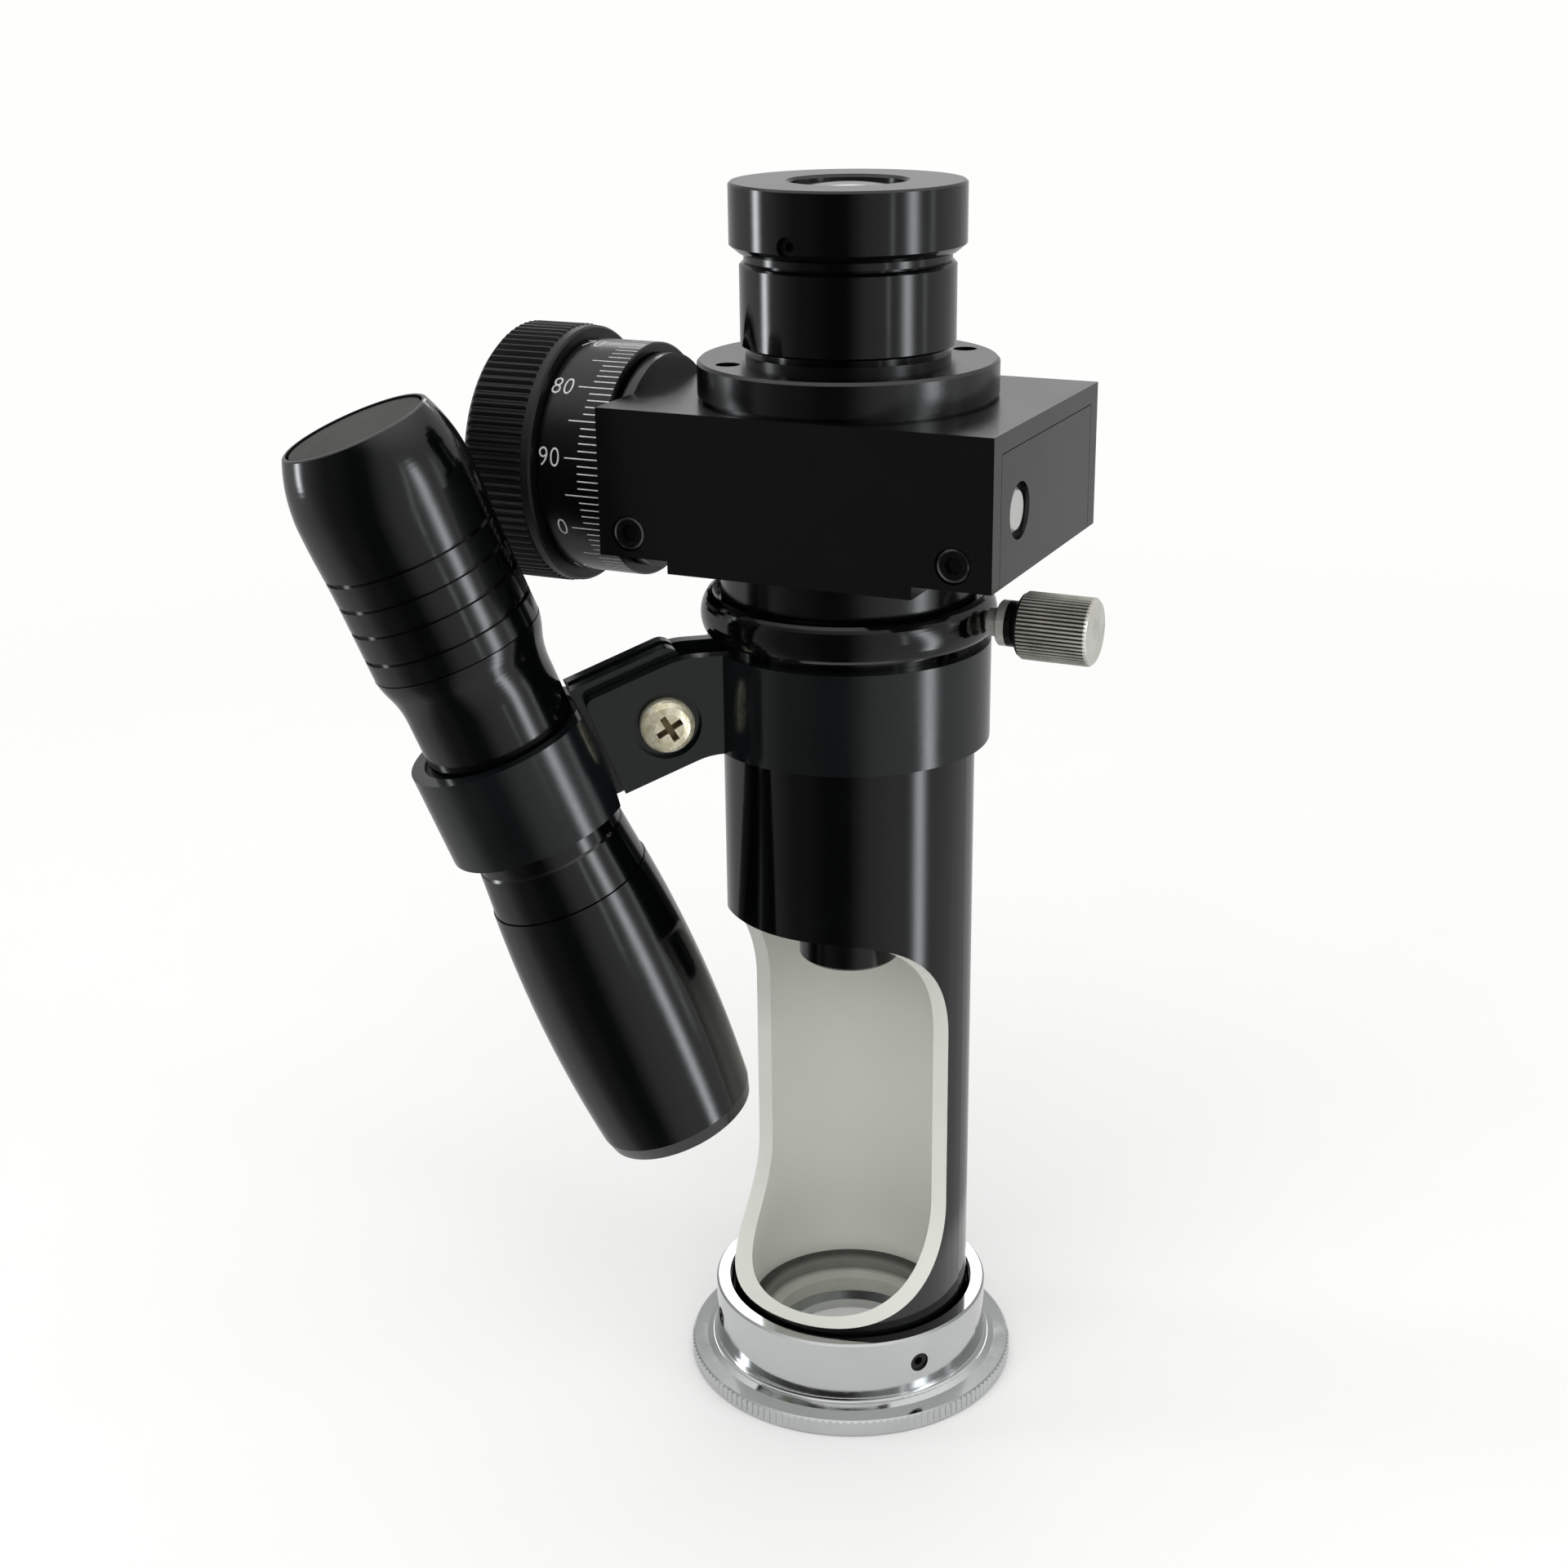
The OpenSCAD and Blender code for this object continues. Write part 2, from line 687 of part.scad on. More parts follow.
// Ribbed knob, a cap over the drum's hub
module drum_knob() {
    rim = knob_right - 1.4;
    color("black") on_screw() difference() {
        union() {
            intersection() {
                translate([0, 0, knob_left]) linear_extrude(knob_len)
                    polygon(rib_points(knob_ribs, knob_r, 0.55));
                rotate_extrude() polygon([
                    [0, knob_left], [knob_r - 0.9, knob_left], [knob_r + 0.04, knob_left + 0.94],
                    [knob_r + 0.04, rim - 0.4], [knob_r - 0.3, rim + 0.1], [0, rim + 0.1]
                ]);
            }
            rotate_extrude() polygon([
                [hub_r - 1, rim - 0.5], [knob_r - 0.9, rim - 0.5],
                [knob_r - 0.9, rim], [knob_r - 0.2, rim],
                [knob_r - 0.2, knob_right - 0.3], [knob_r - 0.5, knob_right], [hub_r - 1, knob_right]
            ]);
        }
        disc(hub_r + fit, knob_left + 3.2, knob_right + eps);
        disc(7, knob_left - eps, knob_left + 1.2);
        disc(3 + fit, knob_left, knob_left + 3.4);
    }
}

module drum_nut() {
    color("silver") on_screw() difference() {
        disc(5.6, knob_left + 0.2, knob_left + 1.2);
        disc(4.4, knob_left - eps, knob_left + 0.5);
        translate([-0.5, -6, knob_left]) cube([1, 12, 0.7]);
    }
}

module field_lens() {
    lens(lens_bore_r - air, barrel_z - 5.5, 3.4, 26);
}

module lens_spacer() {
    color("black") ring(lens_bore_r - air, stop_r - 0.2, barrel_z - 2, cap_top - 5.7);
}

module eye_lens() {
    lens(eye_lens_r - fit, cap_top - 5.3, 5, 34);
}

// Screwed barrel that turns up and down in the disc to focus on the scale
module eyepiece_barrel() {
    color("black") difference() {
        rotate_extrude() polygon([
            [0, barrel_z - 6.6], [thread_r, barrel_z - 6.6], [thread_r, barrel_z],
            [barrel_r - 0.3, barrel_z], [barrel_r, barrel_z + 0.3],
            [barrel_r, barrel_top - 0.4], [barrel_r - 0.4, barrel_top],
            [seat_r, barrel_top], [seat_r, barrel_top + 4.4], [0, barrel_top + 4.4]
        ]);
        disc(lens_bore_r, barrel_z - 5.6, barrel_top + 5);
        disc(stop_r, barrel_z - 7, barrel_top);
    }
}

// Cap with the eye opening, held by one set screw
module eyepiece_cap() {
    color("black") difference() {
        rotate_extrude() polygon([
            [eye_lens_r, barrel_top + 4.6], [seat_r + fit, barrel_top + 4.6],
            [seat_r + fit, barrel_top + 0.3],
            [barrel_r - 0.6, barrel_top + 0.3], [barrel_r - 0.6, cap_z], [cap_r - 1.2, cap_z],
            [cap_r, cap_z + 1], [cap_r, cap_top - 0.3], [cap_r - 0.3, cap_top],
            [eye_r + 0.4, cap_top], [eye_r, cap_top - 0.4], [eye_r, cap_top - 1.1],
            [eye_lens_r, cap_top - 1.1]
        ]);
        cap_screw_place() cylinder(r = 1.3, h = 5);
    }
}

module cap_screw_place() {
    rotate([0, 0, 263]) translate([seat_r, 0, cap_z + 1.9]) rotate([0, 90, 0]) children();
}

module cap_set_screw() {
    color("black") cap_screw_place() translate([0, 0, 0.05]) difference() {
        cylinder(r = 1.25, h = 2.1);
        translate([0, 0, 1.1]) cylinder(r = 0.7, h = 2, $fn = 6);
    }
}

// The bracket's own upright plane, with X away from the tube
module in_bracket() {
    rotate([0, 0, bracket_turn]) children();
}

// The clamp screw's centre, with Z along the torch and X towards it
module at_clamp() {
    in_bracket() translate([clamp_r, 0, clamp_z]) rotate([0, torch_tilt, 0]) children();
}

// A point of the bracket's plane, given from the clamp screw across and along the torch
function along_torch(across, along) = [
    clamp_r + across * cos(torch_tilt) + along * sin(torch_tilt),
    clamp_z - across * sin(torch_tilt) + along * cos(torch_tilt)
];

// Side outline of the strap's ear, from the tube down along the torch's tilt
module ear_outline() {
    top = strap_z + strap_h;
    shift = tan(torch_tilt / 2);
    corner = along_torch(ear_reach - 1.2, ear_up - 1.2);
    polygon(concat(
        [[strap_bore - 1.2, top]],
        arc_points(clamp_r - 2.06 - 12 * shift, top - 12, 12, 90, 90 - torch_tilt, 7),
        arc_points(corner[0], corner[1], 1.2, 90 - torch_tilt, -torch_tilt, 8),
        [along_torch(ear_reach, -ear_down)],
        arc_points(clamp_r - 5.75 - 10 * shift, strap_z - 10, 10, 90 - torch_tilt, 90, 7),
        [[strap_bore - 1.2, strap_z]]
    ));
}

// Strap round the tube with two ears that hold the lamp's clamp between them
module tube_strap() {
    color("darkslategray") in_bracket() difference() {
        union() {
            disc(strap_r, strap_z, strap_z + strap_h);
            for (side = [0, 1]) mirror([0, side, 0])
                translate([0, ear_gap + strap_t, 0]) rotate([90, 0, 0])
                    linear_extrude(strap_t) ear_outline();
        }
        disc(strap_bore, strap_z - eps, strap_z + strap_h + eps);
        translate([0, -ear_gap, strap_z - eps]) cube([clamp_r, 2 * ear_gap, strap_h + 2 * eps]);
        translate([clamp_r, 12, clamp_z]) rotate([90, 0, 0]) cylinder(r = clamp_screw_r + 0.1, h = 24);
        translate([clamp_r, ear_gap + strap_t - 1, clamp_z]) rotate([-90, 0, 0]) cylinder(r = 4.7, h = 3);
    }
}

module on_clamp_screw() {
    in_bracket() translate([clamp_r, 0, clamp_z]) rotate([-90, 0, 0]) children();
}

// Cross-recessed pan head screw, its head on the side that faces the window
module clamp_screw() {
    seat = ear_gap + strap_t - 1;
    color("wheat") on_clamp_screw() difference() {
        union() {
            disc(clamp_screw_r, -ear_gap - strap_t - 3.4, seat + 0.1);
            rotate_extrude() polygon([
                [0, seat], [3.7, seat], [3.7, seat + 1.4], [3.45, seat + 1.85], [2.9, seat + 2.25],
                [2, seat + 2.55], [0, seat + 2.7]
            ]);
        }
        for (turn = [30, 120]) rotate([0, 0, turn])
            translate([-1.9, -0.45, seat + 1.3]) cube([3.8, 0.9, 2]);
    }
}

module clamp_nut() {
    color("silver") on_clamp_screw() difference() {
        translate([0, 0, -ear_gap - strap_t - 2.8]) cylinder(r = 3.9, h = 2.8, $fn = 6);
        disc(clamp_screw_r + fit, -ear_gap - strap_t - 3, -ear_gap - strap_t + eps);
    }
}

// Side outline of the lamp clamp's ear, rounded past the screw
module lamp_ear_outline() {
    corner = 2;
    back = -5.45;
    low = -ear_down + 0.15;
    polygon(concat(
        [[lamp_arm - lamp_ring_bore + 1.2, lamp_ear_up]],
        arc_points(back + corner, lamp_ear_up - corner, corner, 90, 180, 8),
        arc_points(back + corner, low + corner, corner, 180, 270, 8),
        [[lamp_arm - lamp_ring_bore + 1.2, low]]
    ));
}

// Split ring round the torch with two ears that swing on the clamp screw
module lamp_clamp() {
    inner = ear_gap - air - lamp_ear_t;
    color("darkslategray") at_clamp() difference() {
        union() {
            translate([lamp_arm, 0, 0]) disc(lamp_ring_r, -lamp_ring_h / 2, lamp_ring_h / 2);
            for (side = [0, 1]) mirror([0, side, 0])
                translate([0, inner + lamp_ear_t, 0]) rotate([90, 0, 0])
                    linear_extrude(lamp_ear_t) lamp_ear_outline();
        }
        translate([lamp_arm, 0, 0]) disc(lamp_ring_bore, -20, 20);
        translate([-8, -inner, -20]) cube([lamp_arm + 8, 2 * inner, 40]);
        for (side = [0, 1], turn = lamp_turns) mirror([0, side, 0]) rotate([0, turn, 0])
            translate([-8, ear_gap - air, -20]) cube([ear_reach + air + 8, 20, 40]);
        translate([0, 12, 0]) rotate([90, 0, 0]) cylinder(r = clamp_screw_r + run, h = 24);
    }
}

// The torch's own axis
module at_torch() {
    at_clamp() translate([lamp_arm, 0, 0]) children();
}

// Rubber sleeve that takes up the play between the ring and the torch
module lamp_sleeve() {
    color("black") at_torch()
        ring(lamp_ring_bore - fit, waist_r + run, 0.6 - lamp_ring_h / 2, lamp_ring_h / 2 - 0.6);
}

module torch_head() {
    color("black") at_torch() difference() {
        rotate_extrude() polygon(concat(
            [[0, -nose_reach], [head_r - 1.5, -nose_reach]],
            bulge(-nose_reach, head_seam - 0.15, head_r, -36, 198, 20),
            [[0, head_seam - 0.15]]
        ));
        disc(nose_bore, -nose_reach - eps, -nose_reach + 17);
        disc(8.2 + fit, -nose_reach + 16, head_seam);
    }
}

module torch_window() {
    color("lightcyan") at_torch() disc(nose_bore - fit, -nose_reach + 1.2, -nose_reach + 3.2);
}

module torch_reflector() {
    outer = nose_bore - fit;
    color("silver") at_torch() rotate_extrude() polygon([
        [outer - 0.8, -nose_reach + 3.3], [outer, -nose_reach + 3.3], [outer, -nose_reach + 4.4],
        [outer - 0.9, -nose_reach + 7], [6.6, -nose_reach + 12], [4, -nose_reach + 16.4],
        [2.4, -nose_reach + 16.9], [2.4, -nose_reach + 16],
        [3.4, -nose_reach + 15.4], [5.8, -nose_reach + 11.4], [8, -nose_reach + 7]
    ]);
}

module torch_led() {
    color("khaki") at_torch() {
        disc(8.2, -nose_reach + 17.1, -nose_reach + 22);
        disc(1.6, -nose_reach + 16.2, -nose_reach + 17.2);
    }
}

// Tube between the head and the tail cap, with a threaded nose inside the head
module torch_body() {
    half = (tail_r - 0.15 - waist_r) / 2;
    bend = (4.4 * 4.4 + half * half) / (2 * half);
    middle = waist_high + 4.4;
    color("black") at_torch() difference() {
        rotate_extrude() polygon(concat(
            [[0, head_seam - 13], [8.2, head_seam - 13], [8.2, head_seam], [waist_r + 0.85, head_seam]],
            [[waist_r + 0.25, waist_low - 0.35], [waist_r, waist_low], [waist_r, waist_high]],
            hollow(waist_high, middle, waist_r, waist_high, bend, 7),
            bulge(middle, body_seam - 0.15, tail_r - 0.15, waist_high + 8.8, bend, 4),
            [[8.8, body_seam - 0.15], [8.8, body_seam + 8], [0, body_seam + 8]]
        ));
        disc(7.4, head_seam - 14, body_seam + 9);
    }
}

module torch_battery() {
    color("seagreen") at_torch() {
        disc(7.2, head_seam - 13, head_seam + 36.5);
        disc(2.7, head_seam - 14, head_seam - 12.9);
    }
}

module battery_spring() {
    low = head_seam + 36.6;
    color("silver") at_torch() translate([0, 0, low]) coil_spring(4.4, 0.4, 4, tail_reach - 9 - low);
}

// Grooved cap that closes the battery tube and carries the switch
module torch_tail_cap() {
    color("black") at_torch() difference() {
        rotate_extrude() polygon(concat(
            [[0, body_seam], [tail_r - 0.3, body_seam], [tail_r - 0.3, crown_z - 12]],
            hollow(crown_z - 12, crown_z - 6, tail_r - 0.3, crown_z - 12, 120.1, 3),
            bulge(crown_z - 6, crown_z, tail_r, crown_z, 120.1, 3),
            bulge(crown_z, tail_reach - 0.15, tail_r, crown_z, 22.3, 14),
            [[tail_r - 2.35, tail_reach], [0, tail_reach]]
        ));
        disc(8.8 + fit, body_seam - eps, body_seam + 9);
        disc(7.6, body_seam, tail_reach - 8.9);
        disc(8.3, tail_reach - 9, tail_reach - 2.5);
        disc(9.45, tail_reach - 2.9, tail_reach + eps);
        for (z = groove_z) ring(tail_r + 1, tail_r - 0.75, z, z + 0.6);
    }
}

// Rubber rings in the torch's two threaded joints
module torch_seals() {
    color("black") at_torch() {
        ring(9.35, 8.25, head_seam - 0.1, head_seam - 0.02);
        ring(9.6, 8.85, body_seam - 0.12, body_seam - 0.02);
    }
}

module switch_module() {
    color("dimgray") at_torch() {
        disc(8.2, tail_reach - 8.9, tail_reach - 4.2);
        disc(2.6, tail_reach - 4.3, tail_reach - 3.7);
    }
}

// Soft disc in the tail that is pressed to work the switch
module switch_boot() {
    color("dimgray") at_torch() rotate_extrude() polygon([
        [0, tail_reach - 2.3], [7.9, tail_reach - 2.3],
        [7.9, tail_reach - 1.5], [9.3, tail_reach - 1.5],
        [9.3, tail_reach - 0.5], [9.1, tail_reach - 0.25], [0, tail_reach - 0.1]
    ]);
}

foot_ring();
foot_set_screws();
stage_ring();
main_tube();
lock_ring();
lock_pad();
lock_screw();
lock_spacer();
lock_knob();
draw_tube();
objective_mount();
objective_front_lens();
objective_rear_lens();
objective_retainer();
neck_plate();
box_housing();
end_cover();
guide_rod();
guide_pin();
fixed_scale();
scale_retainer();
bearing_bush();
index_sleeve();
eyepiece_disc();
box_screws();
reticle_carriage();
micrometer_nut();
moving_reticle();
return_spring();
micrometer_screw();
graduated_drum();
drum_knob();
drum_nut();
field_lens();
lens_spacer();
eye_lens();
eyepiece_barrel();
eyepiece_cap();
cap_set_screw();
tube_strap();
clamp_screw();
clamp_nut();
lamp_clamp();
lamp_sleeve();
torch_head();
torch_body();
torch_tail_cap();
torch_window();
torch_reflector();
torch_led();
torch_battery();
battery_spring();
torch_seals();
switch_module();
switch_boot();
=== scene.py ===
import json
import math

import bmesh
import bpy
from mathutils import Matrix, Vector


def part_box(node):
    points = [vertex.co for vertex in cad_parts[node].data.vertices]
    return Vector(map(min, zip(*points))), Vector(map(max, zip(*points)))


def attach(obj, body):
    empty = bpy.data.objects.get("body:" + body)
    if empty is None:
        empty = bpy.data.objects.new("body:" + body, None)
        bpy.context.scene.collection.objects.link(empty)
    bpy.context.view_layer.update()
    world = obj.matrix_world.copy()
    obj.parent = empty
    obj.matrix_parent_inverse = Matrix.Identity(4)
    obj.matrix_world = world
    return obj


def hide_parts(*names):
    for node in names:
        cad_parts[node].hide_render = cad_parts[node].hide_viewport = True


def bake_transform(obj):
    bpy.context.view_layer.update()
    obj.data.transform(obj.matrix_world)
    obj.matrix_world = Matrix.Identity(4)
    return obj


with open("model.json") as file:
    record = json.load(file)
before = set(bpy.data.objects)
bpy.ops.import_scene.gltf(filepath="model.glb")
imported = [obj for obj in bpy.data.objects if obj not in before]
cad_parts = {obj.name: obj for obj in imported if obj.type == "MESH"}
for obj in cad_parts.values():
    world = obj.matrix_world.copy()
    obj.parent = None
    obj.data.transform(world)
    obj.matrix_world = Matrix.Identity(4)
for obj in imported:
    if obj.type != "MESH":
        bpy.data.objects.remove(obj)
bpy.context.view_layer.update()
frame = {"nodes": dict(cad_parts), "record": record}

MM = 0.001

# Micrometer drum and sleeve in mm, as in the CAD model
SCREW_Z = 135.7
DRUM_R = 16.1
DRUM_RIGHT = -29.1
SLEEVE_R = 14.75

# Drum scale: the photograph shows the figure 90 this many degrees above the level of the screw,
# and the index line pointing at this division
ANGLE_90 = 10.2
INDEX_DIVISION = 85
DIVISIONS = 100
DIVISION_ANGLE = 360 / DIVISIONS
LONG_EVERY = 5
FIGURE_EVERY = 10
# Its marks and figures in mm: how far they stand clear of the surface, their sizes, and their
# starts and ends as distances from the drum's right edge
MARK_LIFT = 0.015
MARK_WIDTH = 0.17
MARK_START = 0.25
SHORT_MARK_END = 3.6
LONG_MARK_END = 5.6
FIGURE_START = 6.4
FIGURE_HEIGHT = 2.56
# Height in mm of the strips that a figure is cut into, and a factor on the font's width
FIGURE_STRIP = 0.3
FIGURE_NARROWING = 0.86
# Index line on the sleeve in mm
INDEX_LEFT = -28.5
INDEX_RIGHT = -27.1
INDEX_WIDTH = 0.2

# Lamp clamp's screw: its centre in mm, its axis, and its cross recess's depths and radius in mm
CLAMP_CENTRE = (-20.961, -16.377, 104.3)
CLAMP_AXIS = (0.61566, -0.78801, 0.0)
RECESS_TOP = 6.72
RECESS_FLOOR = 6.5
RECESS_R = 2.04

# Tube: a face belongs to its outside where the outward part of its normal is above this
OUTSIDE_PART = 0.6

# Stepped ring in the foot: the radii in mm between which painted shadow darkens it towards its rim
STAGE_PALE_R = 12.4
STAGE_SHADOW_R = 13.6

# Lock screw in mm: the radii of its knob's grooves and ribs, between which painted shade darkens
# the grooves, the length of the knob's plain end, and the X beyond which the collar is painted
# black as shade and dark reflection
GROOVE_R = 4.34
RIB_R = 4.50
KNOB_PLAIN_END = 0.46
COLLAR_SHADE_X = 23.4

# Box screws: where the painted highlight on the rim of a head starts and where it is at full
# brightness, as parts of its radius
RIM_HIGHLIGHT_START = 0.84
RIM_HIGHLIGHT_FULL = 0.93

# Floor in metres: its radius, where it fades out for the eye, and where it does for gloss
FLOOR_R = 0.8
FLOOR_FADE = (0.16, 0.55)
FLOOR_GLOSS_FADE = (0.046, 0.060)

# What gloss mirrors round the object, as azimuth from +X towards +Y and brightness, from the
# lowest azimuth to the highest. It is dark behind the camera, which stands at -67
SURROUNDINGS = [
    (-180, 0.45), (-152, 0.42), (-136, 0.22), (-120, 0.10), (-104, 0.08),
    (-86, 0.025), (-68, 0.03), (-57, 0.20), (-48, 0.36), (-25, 0.47),
    (60, 0.48), (100, 0.58), (140, 0.50), (160, 0.38), (180, 0.45),
]
# Tall soft lamps in those surroundings: azimuth, half width, brightness, lean with height, and
# the elevation of the lower end. All angles here are degrees
LAMPS = [
    (-165, 4.6, 8.5, 0.0, -16),
    (-4, 6.2, 4.7, 0.25, -40),
    (-24, 2.2, 1.0, 0.0, -12),
    (21, 3.5, 0.6, 0.0, -12),
]
LAMP_FADE_IN = 4
LAMP_FADE_OUT = (18, 30)
LAMP_COLOR = (0.95, 1.0, 1.03)
CEILING_FADE_IN = (28, 58)
CEILING_COLOR = (1.14, 1.14, 1.13, 1)
BACKGROUND_COLOR = (0.99, 0.99, 0.98, 1)
# Height in metres of the point that the light objects are placed round
MIDDLE_Z = 0.09

# Numbers of a mix node's inputs A and B and its output, for colours and for plain numbers
MIX_SOCKETS = {"RGBA": (6, 7, 2), "FLOAT": (2, 3, 0)}


class Graph:
    """A node tree that starts empty, with helpers for its nodes and links."""

    def __init__(self, tree):
        self.tree = tree
        tree.nodes.clear()

    def new(self, kind, **props):
        node = self.tree.nodes.new(kind)
        for key, value in props.items():
            setattr(node, key, value)
        return node

    def link(self, a, b):
        self.tree.links.new(a, b)

    def put(self, socket, value):
        """Links another node's output to the socket, or sets a plain value."""
        if isinstance(value, bpy.types.NodeSocket):
            self.link(value, socket)
        else:
            socket.default_value = value

    def split(self, vector):
        """The outputs X, Y and Z of a vector."""
        node = self.new("ShaderNodeSeparateXYZ")
        self.link(vector, node.inputs[0])
        return node.outputs

    def remap(self, value, from_lo, from_hi, to_lo=0.0, to_hi=1.0, **props):
        node = self.new("ShaderNodeMapRange", **props)
        node.inputs["From Min"].default_value = from_lo
        node.inputs["From Max"].default_value = from_hi
        node.inputs["To Min"].default_value = to_lo
        node.inputs["To Max"].default_value = to_hi
        self.link(value, node.inputs["Value"])
        return node.outputs["Result"]

    def step(self, value, low, high):
        """A smooth rise from 0 to 1."""
        return self.remap(value, low, high, interpolation_type="SMOOTHSTEP")

    def mix(self, fac, a, b, data_type="RGBA"):
        node = self.new("ShaderNodeMix", data_type=data_type)
        first, second, result = MIX_SOCKETS[data_type]
        self.put(node.inputs[0], fac)
        self.put(node.inputs[first], a)
        self.put(node.inputs[second], b)
        return node.outputs[result]

    def mix_shaders(self, fac, a, b):
        node = self.new("ShaderNodeMixShader")
        for socket, output in zip(node.inputs, (fac, a, b)):
            self.link(output, socket)
        return node.outputs[0]

    def calc(self, kind, a, b=0.0, clamp=False):
        node = self.new("ShaderNodeMath", operation=kind, use_clamp=clamp)
        self.put(node.inputs[0], a)
        self.put(node.inputs[1], b)
        return node.outputs[0]

    def times(self, a, b):
        return self.calc("MULTIPLY", a, b)

    def vector(self, kind, a, b=(0, 0, 0)):
        """A vector operation. A length or a dot product comes back as a number."""
        node = self.new("ShaderNodeVectorMath", operation=kind)
        self.put(node.inputs[0], a)
        self.put(node.inputs[1], b)
        return node.outputs["Value" if kind in ("LENGTH", "DOT_PRODUCT") else "Vector"]


class Nodes(Graph):
    """Builds one node material."""

    def __init__(self, name):
        self.mat = bpy.data.materials.new(name)
        self.mat.use_nodes = True
        super().__init__(self.mat.node_tree)
        self.out = self.new("ShaderNodeOutputMaterial")

    def coords(self):
        return self.new("ShaderNodeTexCoord").outputs["Object"]

    def noise(self, scale, detail=3.0, rough=0.55, stretch=None):
        vector = self.coords()
        if stretch:
            mapping = self.new("ShaderNodeMapping")
            mapping.inputs["Scale"].default_value = stretch
            self.link(vector, mapping.inputs["Vector"])
            vector = mapping.outputs["Vector"]
        node = self.new("ShaderNodeTexNoise")
        node.inputs["Scale"].default_value = scale
        node.inputs["Detail"].default_value = detail
        node.inputs["Roughness"].default_value = rough
        self.link(vector, node.inputs["Vector"])
        return node.outputs["Fac"]

    def level(self, noise, low=0.0, high=1.0):
        """The noise's usual range, spread from low to high."""
        return self.remap(noise, 0.3, 0.7, low, high)

    def drift(self, noise, a, b):
        """A colour that drifts with the noise between these two."""
        return self.mix(self.level(noise), (*a, 1), (*b, 1))

    def hypotenuse(self, a, b):
        return self.calc("SQRT", self.calc("ADD", self.times(a, a), self.times(b, b)))

    def flat_coords(self):
        """The point's offset from the tube's axis."""
        return self.vector("MULTIPLY", self.coords(), (1, 1, 0))

    def bump(self, height, strength, distance=0.0002):
        node = self.new("ShaderNodeBump")
        node.inputs["Strength"].default_value = strength
        node.inputs["Distance"].default_value = distance
        self.link(height, node.inputs["Height"])
        return node.outputs["Normal"]

    def surface(self, color, rough, normal, **sockets):
        """The finished material. An underscore in a socket's name stands for a space."""
        node = self.new("ShaderNodeBsdfPrincipled")
        self.put(node.inputs["Base Color"], color)
        self.put(node.inputs["Roughness"], rough)
        self.link(normal, node.inputs["Normal"])
        for key, value in sockets.items():
            node.inputs[key.replace("_", " ")].default_value = value
        self.link(node.outputs[0], self.out.inputs["Surface"])
        return self.mat


def gain(values, factor):
    return [value * factor for value in values]


def painted(name, color, rough, swing=0.25, grain=900, bump=0.02, ior=1.5, stretch=None,
            spread=0.05):
    """Coated metal: slow colour drift, fine grain in gloss and relief, and a little dust."""
    n = Nodes(name)
    slow = n.noise(70, 4, 0.6)
    fine = n.noise(grain, 2, 0.6, stretch)
    body = n.drift(slow, gain(color, 1 - swing), gain(color, 1 + swing))
    dust = n.remap(n.noise(2600, 1, 0.5), 0.72, 0.82, 0.0, 0.012)
    body = n.mix(dust, body, (*[part + 0.08 for part in color], 1))
    clouds = n.level(slow, rough - spread, rough + spread)
    gloss = n.calc("ADD", clouds, n.level(fine, -0.02, 0.02))
    return n.surface(body, gloss, n.bump(fine, bump), IOR=ior)


def metal(name, color, rough, grain=1200, bump=0.03, stretch=None, swing=0.08, spread=0.05,
          metallic=1.0):
    """Bare or plated metal: brushed grain and cloudy gloss. Below metallic 1 it is partly matt."""
    n = Nodes(name)
    slow = n.noise(110, 4, 0.6)
    fine = n.noise(grain, 3, 0.6, stretch)
    body = n.drift(slow, gain(color, 1 - swing), gain(color, 1 + swing / 2))
    clouds = n.level(slow, rough - spread, rough + spread)
    gloss = n.calc("ADD", clouds, n.level(fine, -0.03, 0.03))
    return n.surface(body, gloss, n.bump(fine, bump), Metallic=metallic)


def soft(name, color, rough, grain, bump, swing=0.2):
    """Rubber, moulded plastic or wrap: pebbled relief with mottled colour."""
    n = Nodes(name)
    fine = n.noise(grain, 4, 0.65)
    body = n.drift(n.noise(180, 3, 0.6), gain(color, 1 - swing), gain(color, 1 + swing))
    gloss = n.level(fine, rough - 0.06, rough + 0.06)
    return n.surface(body, gloss, n.bump(fine, bump, 0.0003))


def glass(name, tint, rough=0.02, through=1.0):
    """Glass with faint clouds in its tint and gloss. Below through 1 it is partly opaque."""
    n = Nodes(name)
    slow = n.noise(160, 3, 0.6)
    body = n.drift(slow, gain(tint, 0.97), tint)
    gloss = n.level(n.noise(900, 3), rough, rough + 0.02)
    relief = n.bump(slow, 0.01, 0.0001)
    return n.surface(body, gloss, relief, Transmission_Weight=through, IOR=1.52)


def two_sided_tube():
    """Gloss black on the tube's outside, off-white paint inside and on the window's edge."""
    n = Nodes("tube_black")
    outward = n.vector("NORMALIZE", n.flat_coords())
    normal = n.new("ShaderNodeVectorTransform", vector_type="NORMAL", convert_from="WORLD",
                   convert_to="OBJECT")
    n.link(n.new("ShaderNodeNewGeometry").outputs["True Normal"], normal.inputs[0])
    facing = n.vector("DOT_PRODUCT", outward, normal.outputs[0])
    outside = n.calc("GREATER_THAN", facing, OUTSIDE_PART)

    slow = n.noise(70, 4, 0.6)
    fine = n.noise(900, 2, 0.6)
    black = n.drift(slow, (0.0007, 0.0009, 0.0010), (0.0012, 0.0015, 0.0016))
    white = n.drift(n.noise(90, 3, 0.5), (0.745, 0.755, 0.69), (0.765, 0.775, 0.715))
    color = n.mix(outside, white, black)
    gloss = n.mix(outside, n.level(fine, 0.52, 0.62), n.level(slow, 0.07, 0.12), "FLOAT")
    return n.surface(color, gloss, n.bump(fine, 0.015), IOR=1.55)


